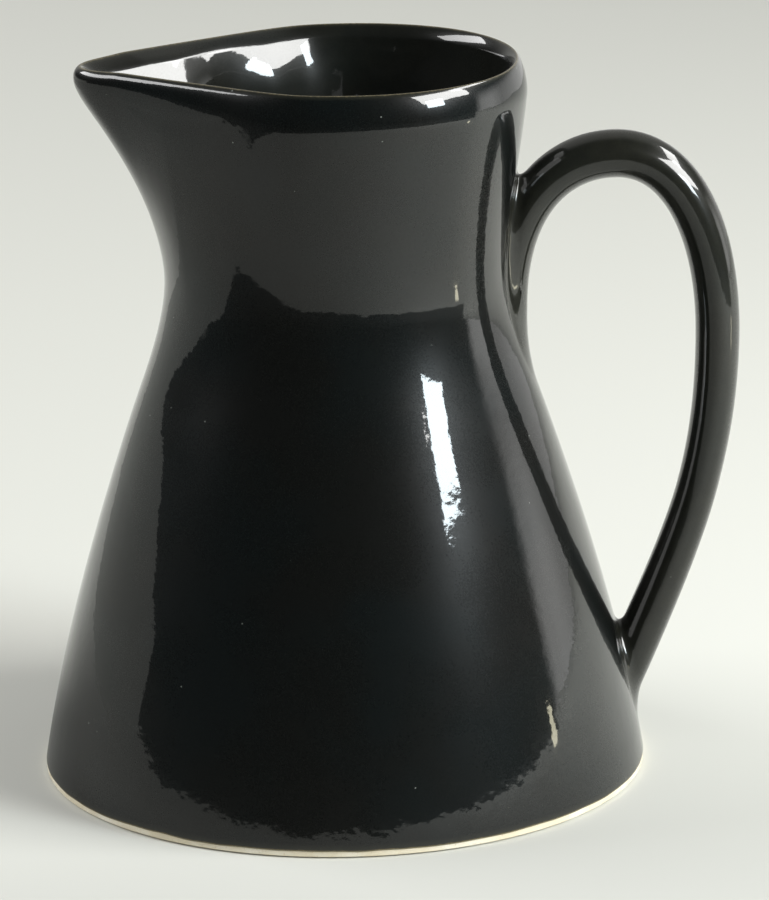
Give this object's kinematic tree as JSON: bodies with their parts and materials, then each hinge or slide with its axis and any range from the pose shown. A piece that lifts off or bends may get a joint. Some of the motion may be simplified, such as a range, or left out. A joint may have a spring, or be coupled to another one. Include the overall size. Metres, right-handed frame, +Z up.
{
  "type": "ceramic creamer",
  "caption": "Conical black-glazed ceramic creamer with a narrow neck, pulled pouring lip, loop handle and bare clay foot ring.",
  "frame": {"origin": "on the table, under the middle of the creamer's outline: halfway between the foot's far edge below the pouring lip and the handle's outermost point, and on the plane of symmetry through lip and handle; the vessel's own axis stands 7.525 mm from it towards the pouring lip", "axes": "+Z up, +X towards the handle, -X towards the pouring lip, +Y across, with the plane y = 0 running through lip and handle"},
  "size_m": [0.111, 0.096, 0.1135],
  "materials": {
    "glaze": "near-black high-gloss glaze, thinning to olive brown on the edges",
    "clay": "bare cream stoneware, matte"
  },
  "bodies": {
    "root": {"vessel_body": "glaze", "handle": "glaze", "upper_slip_joint": "glaze", "lower_slip_joint": "glaze", "foot_ring": "clay"}
  },
  "joints": []
}
